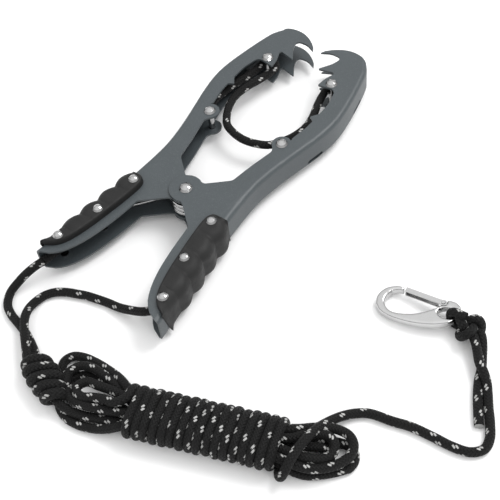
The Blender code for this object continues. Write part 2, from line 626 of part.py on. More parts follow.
def build_gate(place):
    """The gate is a channel of thin sheet: two flanges, a web on the outer side and a closed tip."""
    tip, pin = Vector(GATE_TIP), Vector(GATE_PIN)
    along = (tip - pin).normalized()
    out = Vector((along.y, -along.x))
    length, half = (tip - pin).length, GATE_WIDTH / 2

    def spot(u, v):
        return pin + along * u + out * v

    heading = math.degrees(math.atan2(out.y, out.x))
    round_end = arc(pin, LUG_R, heading - 180, heading, 10)
    start = 3.0
    outline = [spot(start, half), spot(length, half), spot(length, -half), spot(start, -half), *round_end]
    gate = flat_solid("hook_gate", [outline], -GATE_HALF, GATE_HALF)
    inside = GATE_HALF - GATE_SHEET
    hollow = [spot(-5.0, -5.0), spot(length - GATE_SHEET, -5.0), spot(length - GATE_SHEET, half - GATE_SHEET),
              spot(LUG_R + 1.2, half - GATE_SHEET), spot(LUG_R + 1.2, 5.0), spot(-5.0, 5.0)]
    cavity = flat_solid("gate_cavity", [hollow], -inside, inside)
    hole = round_bar("gate_hole", GATE_PIN, GATE_PIN_R + GAP, 4 * GATE_HALF, 12)
    for cutter in (cavity, hole):
        cutter.data.transform(place)
        boolean(gate, add_cutter(cutter))
    leaf = [spot(LUG_R + 1.3, 0.4), spot(10.0, 0.0), spot(14.0, 0.6), spot(14.0, 0.2), spot(10.0, -0.4),
            spot(LUG_R + 1.3, 0.0)]
    spring = flat_solid("gate_spring", [leaf], -inside + GAP, inside - GAP)
    bar = round_bar("gate_pin", GATE_PIN, GATE_PIN_R, 2 * GATE_HALF + 0.8, 12)
    for piece in (gate, spring, bar):
        piece.data.transform(place)
        add_part(piece, "steel")
    return gate, spring


def joint_axis(name, place, pieces):
    """An empty on the joint's axis that carries the moving pieces."""
    axis = bpy.data.objects.new(name, None)
    axis.empty_display_size = 0.02
    axis.matrix_world = place
    PARTS.objects.link(axis)
    bpy.context.view_layer.update()
    for piece in pieces:
        piece.parent = axis
        piece.matrix_parent_inverse = axis.matrix_world.inverted()


clear_scene()
PARTS = new_collection("clamp_anchor")
CUTTERS = new_collection("cutters")

for label, side, half in (("left", -1, LEFT_HALF), ("right", 1, RIGHT_HALF)):
    build_arm(label, side, half)
    build_grip(label, side, half)
    for number, at in enumerate(GRIP_RIVETS, 1):
        short_rivet(f"{label}_grip_rivet_upper_{number}", at, side, half, 1)
        short_rivet(f"{label}_grip_rivet_lower_{number}", at, side, half, -1)
    long_rivet(f"{label}_jaw_post_lower", LOWER_POST, side, half, POST_R, 4.8, 3.0, 14)
    long_rivet(f"{label}_jaw_post_upper", UPPER_POST, side, half, POST_R, 4.8, 3.0, 14)
build_pivot()
build_spring()
build_rope()
hook_place, gate_pieces = build_hook()
moving = [item for item in PARTS.objects if item.name.startswith("right_") or item.name == "rope_right_channel"]
joint_axis("jaw_axis", Matrix.Translation((0.0, PIVOT_Y * MM, MID_Z * MM)), moving)
joint_axis("gate_axis", hook_place @ Matrix.Translation(Vector((*GATE_PIN, 0.0)) * MM), gate_pieces)
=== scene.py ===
"""Looks of the brush-gripper clamp anchor: powder-coated arms, rubber grips, bright steel and braided rope.

Plan shapes are in millimetres from the pivot axis, +Y towards the jaws; heights are above the floor.
"""
import math

import bmesh
import bpy
from mathutils import Matrix, Vector


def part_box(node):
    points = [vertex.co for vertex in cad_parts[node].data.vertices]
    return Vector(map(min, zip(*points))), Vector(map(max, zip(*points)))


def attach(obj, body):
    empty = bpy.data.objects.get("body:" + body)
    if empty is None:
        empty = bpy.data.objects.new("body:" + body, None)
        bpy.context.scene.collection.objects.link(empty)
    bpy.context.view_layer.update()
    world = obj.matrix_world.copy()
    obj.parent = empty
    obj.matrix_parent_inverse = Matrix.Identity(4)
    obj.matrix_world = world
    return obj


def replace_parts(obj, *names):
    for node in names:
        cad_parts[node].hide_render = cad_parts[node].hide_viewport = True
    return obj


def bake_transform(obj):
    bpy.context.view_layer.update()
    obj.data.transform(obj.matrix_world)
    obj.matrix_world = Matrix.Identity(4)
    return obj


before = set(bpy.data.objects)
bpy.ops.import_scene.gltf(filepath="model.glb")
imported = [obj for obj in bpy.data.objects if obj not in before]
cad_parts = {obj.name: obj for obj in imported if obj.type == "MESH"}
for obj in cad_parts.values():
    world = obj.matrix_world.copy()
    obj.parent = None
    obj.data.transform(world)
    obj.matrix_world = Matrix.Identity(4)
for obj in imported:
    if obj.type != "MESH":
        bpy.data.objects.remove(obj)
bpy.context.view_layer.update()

MM = 0.001
RIVET_LOW, RIVET_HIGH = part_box("pivot_rivet")
PIVOT = (RIVET_LOW + RIVET_HIGH) / 2
MID_Z = PIVOT.z / MM
LEFT_BODY = "left_arm_and_rope"
RIGHT_BODY = "right_arm"
GATE_BODY = "gate"

ROPE_R = 3.2
FLOOR_Z = ROPE_R + 0.05

# the camera: place from the pivot in millimetres, turn in degrees
CAMERA_AT = (357.2, -333.6, 590.2)
CAMERA_TURN = (36.757, 4.424, 36.214)
LENS = 72.0


def world_point(x, y, z):
    return Vector((x * MM + PIVOT.x, y * MM + PIVOT.y, z * MM))


# ---- material nodes -------------------------------------------------------------------------------------

class Nodes:
    """A short way to write node trees."""

    def __init__(self, name):
        self.material = bpy.data.materials.new(name)
        self.material.use_nodes = True
        self.tree = self.material.node_tree
        self.shader = self.tree.nodes["Principled BSDF"]
        self.coords = None

    def add(self, kind, **settings):
        node = self.tree.nodes.new(kind)
        for key, value in settings.items():
            setattr(node, key, value)
        return node

    def feed(self, socket, value):
        if isinstance(value, bpy.types.NodeSocket):
            self.tree.links.new(value, socket)
        else:
            socket.default_value = value

    def object_coords(self):
        if self.coords is None:
            self.coords = self.add("ShaderNodeTexCoord").outputs["Object"]
        return self.coords

    def scaled(self, factors, vector=None):
        node = self.add("ShaderNodeMapping")
        self.feed(node.inputs["Vector"], vector or self.object_coords())
        node.inputs["Scale"].default_value = factors
        return node.outputs["Vector"]

    def noise(self, scale, detail=2.0, roughness=0.5, vector=None):
        node = self.add("ShaderNodeTexNoise")
        self.feed(node.inputs["Vector"], vector or self.object_coords())
        node.inputs["Scale"].default_value = scale
        node.inputs["Detail"].default_value = detail
        node.inputs["Roughness"].default_value = roughness
        return node.outputs["Fac"]

    def cells(self, scale):
        node = self.add("ShaderNodeTexVoronoi")
        self.feed(node.inputs["Vector"], self.object_coords())
        node.inputs["Scale"].default_value = scale
        return node.outputs["Distance"]

    def math(self, operation, a, b=0.0):
        node = self.add("ShaderNodeMath", operation=operation)
        self.feed(node.inputs[0], a)
        self.feed(node.inputs[1], b)
        return node.outputs[0]

    def ramp(self, value, low, high, to_low=0.0, to_high=1.0):
        node = self.add("ShaderNodeMapRange")
        numbers = {"Value": value, "From Min": low, "From Max": high, "To Min": to_low, "To Max": to_high}
        for key, number in numbers.items():
            self.feed(node.inputs[key], number)
        return node.outputs["Result"]

    def mix(self, factor, a, b):
        node = self.add("ShaderNodeMix", data_type="RGBA")
        self.feed(node.inputs["Factor"], factor)
        self.feed(node.inputs[6], a)
        self.feed(node.inputs[7], b)
        return node.outputs[2]

    def bump(self, height, strength, distance):
        node = self.add("ShaderNodeBump")
        node.inputs["Strength"].default_value = strength
        node.inputs["Distance"].default_value = distance
        self.feed(node.inputs["Height"], height)
        if self.shader.inputs["Normal"].is_linked:
            self.feed(node.inputs["Normal"], self.shader.inputs["Normal"].links[0].from_socket)
        self.feed(self.shader.inputs["Normal"], node.outputs["Normal"])

    def set(self, **inputs):
        for key, value in inputs.items():
            self.feed(self.shader.inputs[key.replace("_", " ")], value)
        return self.material


def grey(value, tint=(1.0, 1.0, 1.0)):
    return (value * tint[0], value * tint[1], value * tint[2], 1.0)


def powder_coat():
    """Slate-grey powder coat: a fine orange-peel skin with pale and dark specks."""
    n = Nodes("powder_coat")
    peel = n.noise(900.0, 2.0)
    tone = n.mix(n.noise(40.0, 4.0), (0.044, 0.053, 0.058, 1.0), (0.055, 0.066, 0.072, 1.0))
    speck = n.ramp(n.noise(2600.0, 1.0), 0.62, 0.72)
    colour = n.mix(speck, tone, (0.10, 0.115, 0.12, 1.0))
    n.bump(peel, 0.12, 0.0003)
    return n.set(Base_Color=colour, Roughness=n.ramp(n.noise(1200.0), 0.3, 0.7, 0.41, 0.48), Metallic=0.0,
                 Specular_IOR_Level=0.5)


def rubber():
    """Moulded grip rubber: near-black, a fine pebbled skin, slightly polished by handling."""
    n = Nodes("grip_rubber")
    tone = n.mix(n.noise(60.0, 4.0), (0.008, 0.008, 0.008, 1.0), (0.014, 0.014, 0.014, 1.0))
    n.bump(n.cells(1500.0), 0.35, 0.0004)
    return n.set(Base_Color=tone, Roughness=n.ramp(n.noise(120.0, 3.0), 0.3, 0.7, 0.5, 0.7),
                 Specular_IOR_Level=0.34)


def steel(name, base, rough_low, rough_high, stretch=(1.0, 1.0, 1.0)):
    """Bright steel with faint polishing marks."""
    n = Nodes(name)
    marks = n.noise(700.0, 3.0, vector=n.scaled(stretch))
    colour = n.mix(n.noise(90.0, 3.0), grey(base * 0.9), grey(base))
    n.bump(marks, 0.06, 0.0002)
    return n.set(Base_Color=colour, Roughness=n.ramp(marks, 0.3, 0.7, rough_low, rough_high), Metallic=1.0)


def rope_yarn():
    """Black braid: two families of yarns crossing at 45 degrees, each with its own fine filaments; its colour
    carries painted shade in the hollows and a painted highlight on the crowns.
    """
    n = Nodes("rope_yarn")
    uv = n.add("ShaderNodeUVMap", uv_map="lay")
    parts = n.add("ShaderNodeSeparateXYZ")
    n.feed(parts.inputs[0], uv.outputs["UV"])
    along = n.math("MULTIPLY", parts.outputs["X"], 1.0 / BRAID_CELL)
    around = n.math("MULTIPLY", parts.outputs["Y"], BRAID_YARNS)
    a = n.math("ADD", along, around)
    b = n.math("SUBTRACT", along, around)

    def crown(value):
        centred = n.math("SUBTRACT", n.math("FRACT", value), 0.5)
        return n.math("SUBTRACT", 1.0, n.math("MULTIPLY", n.math("MULTIPLY", centred, centred), 3.6))

    cell = n.math("ADD", n.math("FLOOR", a), n.math("FLOOR", b))
    over = n.math("MODULO", n.math("ADD", cell, 4096.0), 2.0)
    high = n.math("ADD", n.math("MULTIPLY", over, crown(a)),
                  n.math("MULTIPLY", n.math("SUBTRACT", 1.0, over), crown(b)))
    filament = n.noise(2600.0, 2.0)
    height = n.math("ADD", high, n.math("MULTIPLY", filament, 0.35))
    # painted shade and highlight: the colour follows the braid's height, darker in the hollows between yarns and
    # paler on their crowns, with the filaments' own random tone mixed in
    painted_hollow_shade = n.ramp(height, 0.2, 1.3)
    colour = n.mix(painted_hollow_shade, (0.0012, 0.0012, 0.0012, 1.0), (0.009, 0.009, 0.009, 1.0))
    n.bump(height, 0.9, 0.0006)
    n.shader.inputs["Sheen Weight"].default_value = 0.02
    return n.set(Base_Color=colour, Roughness=0.66, Specular_IOR_Level=0.19)


def rope_fleck():
    """The reflective tracer yarn, pale grey."""
    n = Nodes("rope_fleck")
    colour = n.mix(n.noise(900.0), (0.24, 0.24, 0.235, 1.0), (0.46, 0.46, 0.45, 1.0))
    return n.set(Base_Color=colour, Roughness=0.45)


BRAID_CELL = 2.36           # one yarn crossing, in millimetres along the rope
BRAID_YARNS = 8.0
FLECK_PITCH = 15.6          # the tracer yarn's turn round the rope
FLECKS_PER_TURN = 3

POWDER = powder_coat()
RUBBER = rubber()
RIVET_STEEL = steel("rivet_steel", 0.46, 0.07, 0.15)
SPRING_STEEL = steel("spring_steel", 0.52, 0.14, 0.26, (1.0, 1.0, 6.0))
HOOK_STEEL = steel("hook_steel", 0.56, 0.1, 0.18)
YARN = rope_yarn()
FLECK = rope_fleck()


# ---- mesh helpers ---------------------------------------------------------------------------------------

def link(name, mesh, materials):
    made = bpy.data.objects.new(name, mesh)
    bpy.context.scene.collection.objects.link(made)
    for material in materials:
        mesh.materials.append(material)
    return made


def smooth(item, degrees=30.0):
    item.data.shade_smooth()
    item.data.set_sharp_from_angle(angle=math.radians(degrees))


SHARP_FROM = 38.0           # edges with more degrees than this between their faces are eased
SHADE_FROM = 34.0           # and those with more than this stay crisp in the shading


def softened(node, name, material, edge):
    """A finished copy of a CAD node: its sharp edges are eased so that they catch the light."""
    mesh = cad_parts[node].data.copy()
    mesh.materials.clear()
    bm = bmesh.new()
    bm.from_mesh(mesh)
    bmesh.ops.remove_doubles(bm, verts=bm.verts, dist=2e-6)
    bmesh.ops.dissolve_limit(bm, angle_limit=math.radians(0.4), verts=bm.verts, edges=bm.edges)
    limit = math.radians(SHARP_FROM)
    sharp = [e for e in bm.edges if len(e.link_faces) == 2 and e.calc_face_angle(0.0) > limit]
    bmesh.ops.bevel(bm, geom=sharp, offset=edge * MM, segments=2, profile=0.5, affect="EDGES",
                    clamp_overlap=True)
    bm.to_mesh(mesh)
    bm.free()
    if "custom_normal" in mesh.attributes:
        mesh.attributes.remove(mesh.attributes["custom_normal"])
    made = link(name, mesh, [material])
    smooth(made, SHADE_FROM)
    weighted = made.modifiers.new("even_normals", "WEIGHTED_NORMAL")
    weighted.keep_sharp = True
    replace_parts(made, node)
    return made


# ---- rope -----------------------------------------------------------------------------------------------

def curve_points(points, step):
    """Points on a centripetal Catmull-Rom curve, then evened out to `step` apart."""
    knots = [Vector(p) for p in points]
    knots = [2 * knots[0] - knots[1], *knots, 2 * knots[-1] - knots[-2]]
    dense = []
    for p0, p1, p2, p3 in zip(knots, knots[1:], knots[2:], knots[3:]):
        t0 = 0.0
        t1 = t0 + max((p1 - p0).length, 1e-6) ** 0.5
        t2 = t1 + max((p2 - p1).length, 1e-6) ** 0.5
        t3 = t2 + max((p3 - p2).length, 1e-6) ** 0.5
        pieces = max(2, int((p2 - p1).length / (step * 0.5)))
        for k in range(pieces):
            t = t1 + (t2 - t1) * k / pieces
            a1 = p0 * (t1 - t) / (t1 - t0) + p1 * (t - t0) / (t1 - t0)
            a2 = p1 * (t2 - t) / (t2 - t1) + p2 * (t - t1) / (t2 - t1)
            a3 = p2 * (t3 - t) / (t3 - t2) + p3 * (t - t2) / (t3 - t2)
            b1 = a1 * (t2 - t) / (t2 - t0) + a2 * (t - t0) / (t2 - t0)
            b2 = a2 * (t3 - t) / (t3 - t1) + a3 * (t - t1) / (t3 - t1)
            dense.append(b1 * (t2 - t) / (t2 - t1) + b2 * (t - t1) / (t2 - t1))
    dense.append(knots[-2])
    lengths = [0.0]
    for before, here in zip(dense, dense[1:]):
        lengths.append(lengths[-1] + (here - before).length)
    count = max(4, round(lengths[-1] / step))
    even, i = [], 0
    for k in range(count + 1):
        want = lengths[-1] * k / count
        while i < len(lengths) - 2 and lengths[i + 1] < want:
            i += 1
        span = max(lengths[i + 1] - lengths[i], 1e-9)
        even.append(dense[i].lerp(dense[i + 1], min(1.0, max(0.0, (want - lengths[i]) / span))))
    return even


def carried_frames(path):
    """Two directions across the path at each point, carried along it without twist."""
    tangents = []
    for i in range(len(path)):
        tangents.append((path[min(i + 1, len(path) - 1)] - path[max(i - 1, 0)]).normalized())
    side = tangents[0].orthogonal().normalized()
    frames = []
    for i, tangent in enumerate(tangents):
        if i:
            side = tangents[i - 1].rotation_difference(tangent) @ side
            side = (side - tangent * side.dot(tangent)).normalized()
        frames.append((side, tangent.cross(side)))
    return frames


RING = 20                   # points round a rope
ROPE_STEP = 1.25            # millimetres between rings


def rope_piece(name, path, body, start=0.0, cut_end=False, radius=ROPE_R):
    """A braided rope along a path in millimetres, with the tracer's flecks standing a hair proud of it.

    start is how far along the whole rope this piece begins, so that the braid and its flecks carry on.
    """
    frames = carried_frames(path)
    bm = bmesh.new()
    uv = bm.loops.layers.uv.new("lay")
    rings, reach = [], [start]
    for i, (point, (u, v)) in enumerate(zip(path, frames)):
        if i:
            reach.append(reach[-1] + (point - path[i - 1]).length)
        ring = []
        for k in range(RING):
            angle = 2 * math.pi * k / RING
            at = point + (u * math.cos(angle) + v * math.sin(angle)) * radius
            ring.append(bm.verts.new(world_point(*at)))
        rings.append(ring)
    for i in range(len(rings) - 1):
        for k in range(RING):
            j = (k + 1) % RING
            face = bm.faces.new((rings[i][k], rings[i][j], rings[i + 1][j], rings[i + 1][k]))
            face.smooth = True
            turns = (k / RING, (k + 1) / RING, (k + 1) / RING, k / RING)
            ways = (reach[i], reach[i], reach[i + 1], reach[i + 1])
            for loop, turn, way in zip(face.loops, turns, ways):
                loop[uv].uv = (way, turn)
    for ring, at_start in ((rings[0], True), (rings[-1], False)):
        face = bm.faces.new(list(reversed(ring)) if at_start else ring)
        face.smooth = False
        if cut_end and not at_start:
            face.material_index = 1
    add_flecks(bm, path, frames, reach, radius)
    mesh = bpy.data.meshes.new(name)
    bm.to_mesh(mesh)
    bm.free()
    made = link(name, mesh, [YARN, FLECK])
    if body:
        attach(made, body)
    return made


# a yarn float's middle and its eight corners: along the yarn, across it, and out from the rope
FLOAT_SHAPE = ((0.0, 0.0, 0.16), (-1.9, 0.0, -0.08), (-1.1, -0.6, 0.05), (0.0, -0.66, 0.08), (1.1, -0.6, 0.05),
               (1.9, 0.0, -0.08), (1.1, 0.6, 0.05), (0.0, 0.66, 0.08), (-1.1, 0.6, 0.05))
FLOAT_ALONG, FLOAT_ROUND = 0.82, 0.57   # how the yarn leans between the rope's length and its girth
PAIR_SHIFT = 1.0            # each float of a pair is this far from the mark,
PAIR_TURN = 0.35            # and this far round
FLECK_MARGIN = 1.5          # none nearer an end of the rope


def add_flecks(bm, path, frames, reach, radius):
    """Pairs of short yarn floats, slanted with the braid, a few to each turn of the tracer."""
    spacing = FLECK_PITCH / FLECKS_PER_TURN
    first = math.ceil((reach[0] + FLECK_MARGIN) / spacing)
    last = math.floor((reach[-1] - FLECK_MARGIN) / spacing)
    step = (reach[-1] - reach[0]) / (len(path) - 1)
    for mark in range(first, last + 1):
        turn = 2 * math.pi * mark / FLECKS_PER_TURN + 0.6 * math.sin(mark * 1.7)
        for shift in (-PAIR_SHIFT, PAIR_SHIFT):
            corners = []
            for p, q, lift in FLOAT_SHAPE:
                way = mark * spacing + shift + FLOAT_ALONG * p + FLOAT_ROUND * q - reach[0]
                angle = turn + (FLOAT_ROUND * p - FLOAT_ALONG * q - PAIR_TURN * shift) / radius
                i = min(len(path) - 2, max(0, int(way / step)))
                t = way / step - i
                point = path[i].lerp(path[i + 1], t)
                u = frames[i][0].lerp(frames[i + 1][0], t).normalized()
                v = frames[i][1].lerp(frames[i + 1][1], t).normalized()
                at = point + (u * math.cos(angle) + v * math.sin(angle)) * (radius + lift)
                corners.append(bm.verts.new(world_point(*at)))
            edge = len(corners) - 1
            for k in range(1, edge + 1):
                face = bm.faces.new((corners[0], corners[k], corners[k % edge + 1]))
                face.material_index = 1
                face.smooth = True


def path_length(path):
    return sum((b - a).length for a, b in zip(path, path[1:]))


# the rope inside the arms, mirrored for the left one: up one side, round the upper post, and down the other
UPPER_POST = (31.2, 148.0)
ROUND_POST_R = 6.2
ROUND_POST = (20.0, 145.0)  # where the rope meets the post, and how far it goes round, in degrees
ROUND_POST_PIECES = 4
CHANNEL_UP = ((41.0, -60.0), (41.5, -45.0), (40.5, -25.0), (38.8, 0.0), (38.4, 20.0), (38.5, 38.0),
              (41.6, 60.0), (44.4, 80.0), (45.4, 100.0), (42.5, 118.0), (38.6, 132.0), (37.4, 144.0))
CHANNEL_DOWN = ((26.0, 142.0), (28.6, 131.0), (32.4, 119.0), (34.0, 106.0), (31.6, 94.0), (27.2, 84.8))
MOUTH_ARC = ((27.2, 84.8), (20.4, 76.4), (10.5, 72.0), (0.0, 70.4), (-10.5, 72.0), (-20.4, 76.4),
             (-27.2, 84.8))
LEFT_START = ((-52.4, -103.6), (-52.0, -101.5), (-50.0, -90.0), (-45.0, -75.0))
RIGHT_START = ((41.4, -92.6), (43.0, -91.0), (45.6, -84.0), (44.0, -72.0))
LEFT_LEG = ((-52.4, -103.6, MID_Z), (-54.8, -109.0, 16.6), (-58.8, -116.0, 12.5), (-62.0, -124.0, 7.6),
            (-62.6, -132.5, 4.4), (-57.6, -141.0, FLOOR_Z), (-48.8, -145.8, FLOOR_Z),
            (-39.0, -148.4, FLOOR_Z), (-28.5, -151.6, FLOOR_Z), (-19.5, -155.6, 3.8), (-10.4, -160.6, 5.4),
            (-4.0, -165.4, 7.2), (3.0, -170.6, 9.4))
RIGHT_LEG = ((41.4, -92.6, 16.9), (35.0, -95.3, 13.6), (23.5, -97.2, 8.2), (12.8, -98.5, 4.6),
             (3.0, -99.3, FLOOR_Z), (-5.2, -101.0, FLOOR_Z), (-14.0, -103.2, FLOOR_Z),
             (-21.7, -106.1, FLOOR_Z), (-29.4, -109.4, FLOOR_Z), (-35.6, -113.6, FLOOR_Z),
             (-40.0, -119.4, FLOOR_Z), (-41.8, -126.6, 3.6), (-40.8, -134.0, 5.6), (-37.2, -141.2, 8.4),
             (-32.0, -147.8, 10.0), (-26.0, -153.6, 10.4), (-20.0, -158.8, 10.4), (-13.4, -164.6, 10.3),
             (-7.0, -170.0, 10.3), (1.0, -174.0, 10.3))
LEAD = ((219.5, -66.6, FLOOR_Z), (231.0, -63.4, FLOOR_Z), (246.0, -61.8, FLOOR_Z),
        (260.0, -60.8, FLOOR_Z), (270.6, -58.0, FLOOR_Z), (276.8, -51.4, FLOOR_Z), (276.4, -43.4, FLOOR_Z),
        (271.2, -33.2, FLOOR_Z), (264.9, -23.6, 3.3), (260.2, -16.0, 4.4), (255.6, -9.6, 6.6),
        (250.6, -5.2, 8.8), (246.0, -1.8, 9.6), (242.0, 3.2, 9.9), (238.2, 8.2, 9.9), (233.4, 13.2, 10.2),
        (228.6, 17.2, 10.4))
TAIL = ((233.0, 21.0, 9.6), (237.4, 17.4, 8.4), (240.6, 13.0, 6.0), (242.9, 8.8, 4.1), (246.2, 2.4, FLOOR_Z),
        (248.4, -3.0, FLOOR_Z), (250.8, -10.5, FLOOR_Z), (256.2, -21.8, FLOOR_Z), (262.2, -32.0, FLOOR_Z),
        (266.6, -39.2, FLOOR_Z))

LEG_LAY_FROM = 3.0          # where along the rope each leg begins, which places its flecks

# the hank, as (along, across, height) from the first wrap
HANK_AXIS = ((78.0, -158.6), (176.0, -122.4))
WRAP_TURNS = 17
WRAP_STEPS = 16             # points to a turn
WRAP_PITCH = 5.94
WRAP_START = 1.5
WRAP_HALF = (15.4, 9.1)     # half the width and half the height of a wrap's centreline
WRAP_SLACK = 0.5            # how unevenly the wraps are pulled, across the hank
WRAP_SWAY = 0.35            # and along it
LOW_LAYER, HIGH_LAYER = 9.2, 15.2   # the strands inside the wraps
STRANDS = (
    # out of the knot, over the wide left loop and along the bottom
    (-62.0, 4.0, 10.0), (-57.5, 0.2, 10.0), (-52.0, -4.2, 9.5), (-45.0, -7.0, 8.2), (-35.0, -8.3, 7.1),
    (-22.0, -8.3, 7.2), (-8.0, -8.0, 8.4), (6.0, -9.2, LOW_LAYER), (60.0, -9.3, LOW_LAYER),
    (96.0, -9.3, LOW_LAYER),
    # the first right loop, on the floor; its end sticks out
    (109.0, -12.0, 5.4), (120.0, -12.0, FLOOR_Z), (131.0, -8.4, FLOOR_Z), (141.0, -3.2, FLOOR_Z),
    (147.8, 1.8, FLOOR_Z), (148.4, 8.4, FLOOR_Z), (142.6, 13.2, FLOOR_Z), (132.0, 14.4, FLOOR_Z),
    (121.0, 12.6, 4.4), (110.0, 10.0, 7.4), (96.0, 9.3, LOW_LAYER), (60.0, 9.3, LOW_LAYER),
    (6.0, 9.2, LOW_LAYER),
    # the first left loop, down to the floor and back inside itself
    (-8.0, 10.4, 8.4), (-18.0, 14.2, 6.8), (-28.0, 18.6, 5.0), (-37.2, 22.0, 3.8),
    (-46.4, 21.4, FLOOR_Z), (-53.0, 15.8, FLOOR_Z), (-51.8, 7.8, FLOOR_Z), (-44.0, 4.2, FLOOR_Z),
    (-35.0, 6.4, FLOOR_Z), (-26.0, 7.8, FLOOR_Z), (-17.0, 6.2, 3.8), (-8.0, 2.6, 6.2),
    (4.0, -3.1, LOW_LAYER), (60.0, -3.1, LOW_LAYER), (96.0, -3.1, LOW_LAYER),
    # the second right loop fills the first
    (108.0, -6.2, 9.0), (118.0, -7.4, 7.4), (129.0, -4.6, 6.0), (138.0, 0.4, 5.4), (141.0, 5.6, 5.2),
    (136.4, 8.8, 5.4), (127.0, 7.6, 6.2), (118.0, 5.4, 7.8), (109.0, 3.6, 9.0), (96.0, 3.1, LOW_LAYER),
    (60.0, 3.1, LOW_LAYER), (6.0, 3.3, LOW_LAYER),
    # the second left loop, high and wide, lies over the first
    (-8.0, 10.2, 11.6), (-19.0, 16.4, 12.4), (-29.0, 21.4, 12.2), (-38.6, 25.0, 11.2), (-47.6, 24.8, 9.8),
    (-53.2, 18.8, 9.2), (-52.6, 10.6, 9.4), (-48.6, 3.6, 10.4), (-41.4, -1.2, 12.0), (-32.4, -3.6, 13.0),
    (-22.0, -4.2, 13.6), (-10.0, -4.0, 14.6), (4.0, -3.1, HIGH_LAYER), (60.0, -3.1, HIGH_LAYER),
    (96.0, -3.1, HIGH_LAYER),
    # a small right loop on top
    (108.0, -4.8, 15.2), (118.0, -5.2, 14.2), (128.0, -2.6, 12.2), (134.8, 3.6, 11.2), (133.8, 10.8, 11.2),
    (125.4, 13.4, 12.6), (115.0, 10.0, 14.6), (107.0, 5.2, 15.2), (96.0, 3.1, HIGH_LAYER),
    (60.0, 3.1, HIGH_LAYER), (8.0, 3.4, HIGH_LAYER),
    # the wide left loop, outside the others and back underneath
    (-3.0, 9.6, 15.4), (-9.0, 15.2, 15.2), (-18.0, 21.8, 12.2), (-29.5, 28.0, 8.0), (-40.5, 32.8, 4.8),
    (-50.6, 35.2, FLOOR_Z), (-58.2, 34.0, FLOOR_Z), (-62.2, 28.8, FLOOR_Z), (-61.2, 21.6, FLOOR_Z),
    (-58.4, 12.4, FLOOR_Z), (-55.6, 3.0, FLOOR_Z), (-51.2, -5.4, FLOOR_Z), (-43.6, -11.2, FLOOR_Z),
    (-33.5, -14.0, FLOOR_Z), (-22.0, -14.4, 4.6), (-12.0, -13.8, 8.4), (-4.0, -12.2, 12.4),
    (5.0, -9.6, HIGH_LAYER), (60.0, -9.3, HIGH_LAYER), (96.0, -9.3, HIGH_LAYER),
    # the wide right loop, over the first
    (109.0, -10.8, 13.4), (120.0, -11.0, 11.4), (130.0, -8.0, 10.4), (138.4, -2.6, 9.8), (143.8, 4.0, 9.4),
    (144.8, 11.4, 9.4), (140.8, 17.6, 9.6), (132.0, 19.8, 10.4), (121.0, 17.4, 12.6), (109.0, 12.4, 14.6),
    (96.0, 9.3, HIGH_LAYER), (60.0, 9.3, HIGH_LAYER), (8.0, 9.4, HIGH_LAYER),
    # the last left loop, on top, then over the strands into the wraps
    (-8.0, 7.8, 16.0), (-18.0, 9.4, 16.6), (-28.0, 11.0, 15.8), (-37.0, 13.4, 14.6), (-44.6, 13.8, 13.4),
    (-50.0, 9.4, 13.0), (-47.6, 1.8, 13.4), (-38.6, 0.0, 14.8), (-27.6, 1.4, 16.6), (-18.0, 1.0, 18.8),
    (-11.0, -1.0, 20.8),
)


def hank_frame():
    start, end = Vector(HANK_AXIS[0]), Vector(HANK_AXIS[1])
    along = (end - start).normalized()
    return start, along, Vector((-along.y, along.x))


def hank_point(s, c, z):
    start, along, across = hank_frame()
    at = start + along * s + across * c
    return Vector((at.x, at.y, z))


def round_the_hank(part):
    """Where a wrap's centreline is, `part` of the way round: flat above and below, round at both sides."""
    half_width, r = WRAP_HALF
    flat = half_width - r
    bend = math.pi * r
    way = (part % 1.0) * (2 * bend + 4 * flat)
    if way < bend / 2:
        return -flat - r * math.cos(way / r), r * math.sin(way / r)
    way -= bend / 2
    if way < 2 * flat:
        return -flat + way, r
    way -= 2 * flat
    if way < bend:
        return flat + r * math.sin(way / r), r * math.cos(way / r)
    way -= bend
    if way < 2 * flat:
        return flat - way, -r
    way -= 2 * flat
    return -flat - r * math.sin(way / r), -r * math.cos(way / r)


def wrap_points():
    """The wraps: a close helix round the strands, rising over the top towards +across."""
    points = []
    middle = FLOOR_Z + WRAP_HALF[1]
    for k in range(-11, WRAP_TURNS * WRAP_STEPS - 2):
        turn = k / WRAP_STEPS
        c, z = round_the_hank(turn)
        slack = WRAP_SLACK * math.sin(2.6 * turn + 0.7) * math.sin(0.9 * turn)
        s = WRAP_START + WRAP_PITCH * turn + WRAP_SWAY * math.sin(2.1 * turn)
        points.append((s, c * (1 + slack / WRAP_HALF[0]), middle + z * (1 + max(0.0, z) * slack / 90)))
    return points


# out of the last wrap, over the right loops and down to the floor
WRAP_EXIT = ((103.8, -21.6, 4.6), (106.4, -21.8, 11.6), (109.4, -14.0, 19.2), (112.6, -4.6, 21.6),
             (115.6, 3.0, 20.8), (118.4, 10.4, 18.2), (121.6, 17.4, 14.0), (125.8, 24.4, 9.6),
             (131.8, 31.4, 5.8), (140.0, 36.8, 3.8), (149.0, 39.2, FLOOR_Z))


EASE_RADIUS = 6.6           # bends tighter than this are let out
EASE_REACH = 3              # judged over this many points to each side
EASE_PASSES = 90
EASE_SHARE = 0.2


def eased(path):
    """Bends tighter than a radius are let out, a little at a time."""
    path = [p.copy() for p in path]
    reach = EASE_REACH
    for _ in range(EASE_PASSES):
        moved = list(path)
        for i in range(2 * reach, len(path) - 2 * reach):
            before, after = path[i] - path[i - reach], path[i + reach] - path[i]
            if before.angle(after, 0.0) > (before.length + after.length) / 2 / EASE_RADIUS:
                for j in range(i - reach, i + reach + 1):
                    moved[j] = path[j].lerp((path[j - reach] + path[j + reach]) / 2, EASE_SHARE)
        for p in moved:
            p.z = max(p.z, FLOOR_Z)
        path = moved
    return curve_points(path, ROPE_STEP)


